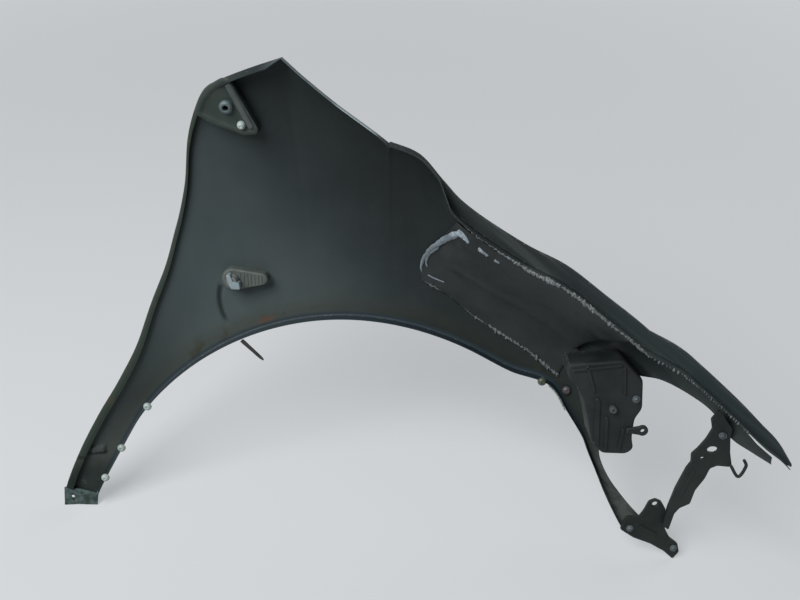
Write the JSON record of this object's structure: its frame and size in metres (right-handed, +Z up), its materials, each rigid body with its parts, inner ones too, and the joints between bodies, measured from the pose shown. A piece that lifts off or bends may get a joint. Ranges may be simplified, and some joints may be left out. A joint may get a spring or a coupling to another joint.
{
  "type": "car fender",
  "caption": "Pressed steel left front car fender with crowned wheel arch, hood ledge, split nose and rear foot, carrying its inner brackets, closing sheet, side lamp and liner clips.",
  "frame": {"origin": "middle of the footprint, on the plane that the rear foot and the tip of the lower corner bracket stand on", "axes": "+X towards the nose, +Y outboard, +Z up; the panel leans back 18 degrees as it stands by a wall"},
  "size_m": [0.8456, 0.2874, 0.5733],
  "materials": {
    "dark_primer": "satin dark grey-green primer, dusty",
    "dark_sheet": "near-black primer, matt",
    "pressed_bracket": "satin grey-green primer",
    "bracket_steel": "black coating, matt",
    "black_moulding": "matt moulded plastic",
    "white_nylon": "dull white moulded plastic",
    "yellow_nylon": "aged yellow moulded plastic",
    "pink_nylon": "pale pinkish moulded plastic",
    "zinc_plated_steel": "zinc plate, slightly dull",
    "seam_sealer": "brushed whitish sealing compound",
    "clear_lens": "clear ribbed lens",
    "grey_housing": "grey moulded plastic",
    "brown_rubber": "dark brown rubber",
    "lamp_glass": "clear bulb"
  },
  "bodies": {
    "root": {"fender_panel": "dark_primer", "upper_rear_gusset": "pressed_bracket", "gusset_weld_nut": "zinc_plated_steel", "gusset_plug": "white_nylon", "inner_reinforcement": "dark_sheet", "reinforcement_sealer": "seam_sealer", "headlamp_side_bracket": "black_moulding", "headlamp_bracket_stud": "black_moulding", "headlamp_bracket_screw": "zinc_plated_steel", "headlamp_bracket_clip": "black_moulding", "headlamp_strut": "bracket_steel", "strut_screw": "zinc_plated_steel", "strut_hook_clip": "bracket_steel", "lower_corner_bracket": "bracket_steel", "corner_screw_rear": "zinc_plated_steel", "corner_screw_front": "zinc_plated_steel", "liner_grommet_1": "white_nylon", "liner_grommet_2": "white_nylon", "liner_grommet_3": "white_nylon", "liner_grommet_front": "yellow_nylon", "liner_plug": "pink_nylon", "arch_edge_clip": "zinc_plated_steel", "liner_tab": "brown_rubber", "side_lamp_lens": "clear_lens", "side_lamp_housing": "grey_housing", "side_lamp_bulb_holder": "white_nylon", "side_lamp_bulb": "lamp_glass"}
  },
  "joints": []
}
